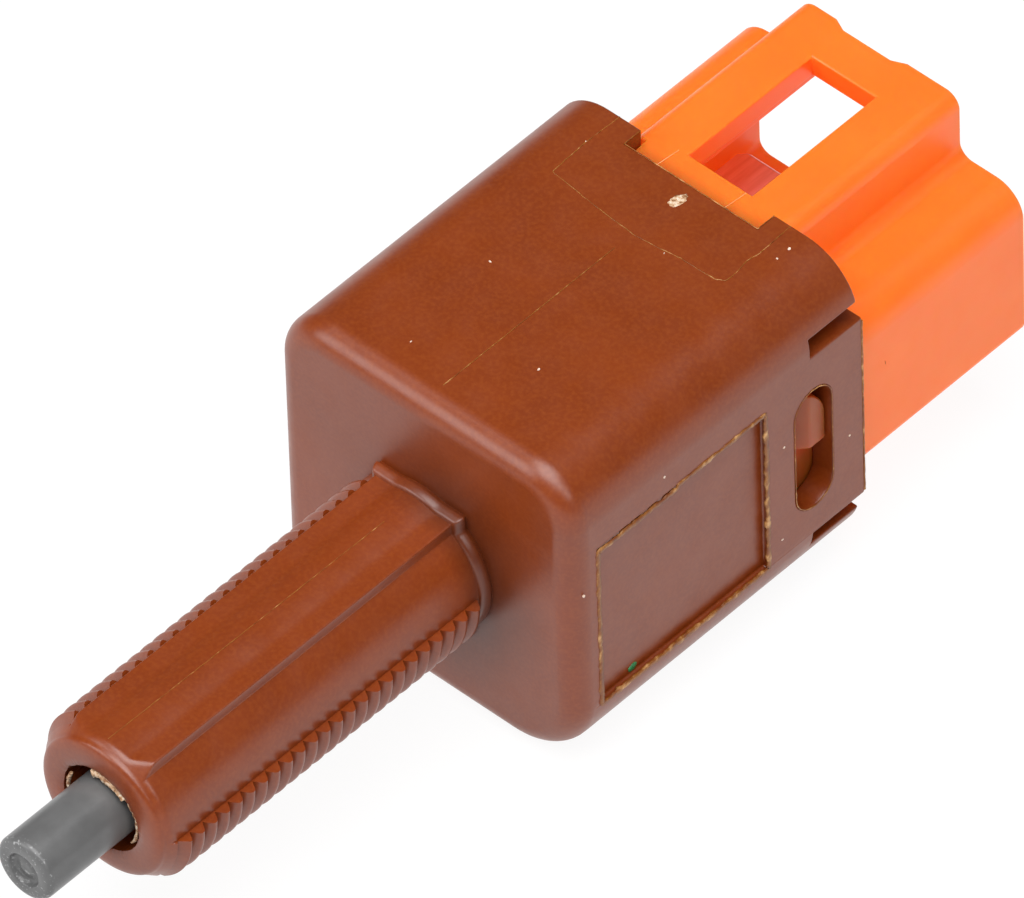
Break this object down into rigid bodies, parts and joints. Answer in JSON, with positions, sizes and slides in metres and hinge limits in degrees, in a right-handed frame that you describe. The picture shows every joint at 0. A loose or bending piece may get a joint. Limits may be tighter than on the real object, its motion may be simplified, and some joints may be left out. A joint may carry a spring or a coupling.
{
  "type": "brake light switch",
  "caption": "Push-type brake light switch: toothed locking stem with a sprung plunger, square housing and a snap-in connector base with two blades.",
  "frame": {"origin": "on the stem's axis in the plane of the housing's front face, where the switch seats on its bracket", "axes": "+Y along the stem's axis from the plunger's tip to the connector, +Z towards the latch bridge of the connector, +X to the side with the label recess"},
  "size_m": [0.0222, 0.0695, 0.0226],
  "materials": {
    "brown_pbt": "satin moulded",
    "orange_pbt": "satin moulded",
    "grey_pom": "satin moulded",
    "white_pom": "satin moulded",
    "spring_steel": "bright drawn",
    "copper_strip": "rolled",
    "silver_contact": "pressed",
    "tinned_brass": "tin plated"
  },
  "bodies": {
    "switch_body": {"housing": "brown_pbt", "connector_base": "orange_pbt", "terminal_right": "tinned_brass", "terminal_left": "tinned_brass", "fixed_button_right": "silver_contact", "fixed_button_left": "silver_contact", "return_spring": "spring_steel"},
    "plunger_set": {"plunger": "grey_pom", "contact_carrier": "white_pom", "contact_spring": "spring_steel"},
    "bridge_set": {"contact_bridge": "copper_strip", "bridge_button_right": "silver_contact", "bridge_button_left": "silver_contact"}
  },
  "joints": [
    {"name": "plunger_slide", "type": "slide", "parent": "switch_body", "child": "plunger_set", "axis": [0, 1, 0], "range_m": [0, 0.005], "stiffness_N_per_m": 300, "springref_m": -0.004, "deforming": ["return_spring"]},
    {"name": "bridge_slide", "type": "slide", "parent": "switch_body", "child": "bridge_set", "axis": [0, 1, 0], "range_m": [0, 0.0041], "deforming": ["contact_spring"]}
  ],
  "couplings": [
    {"joint": "bridge_slide", "follows": "plunger_slide", "ratio": 0.82}
  ]
}
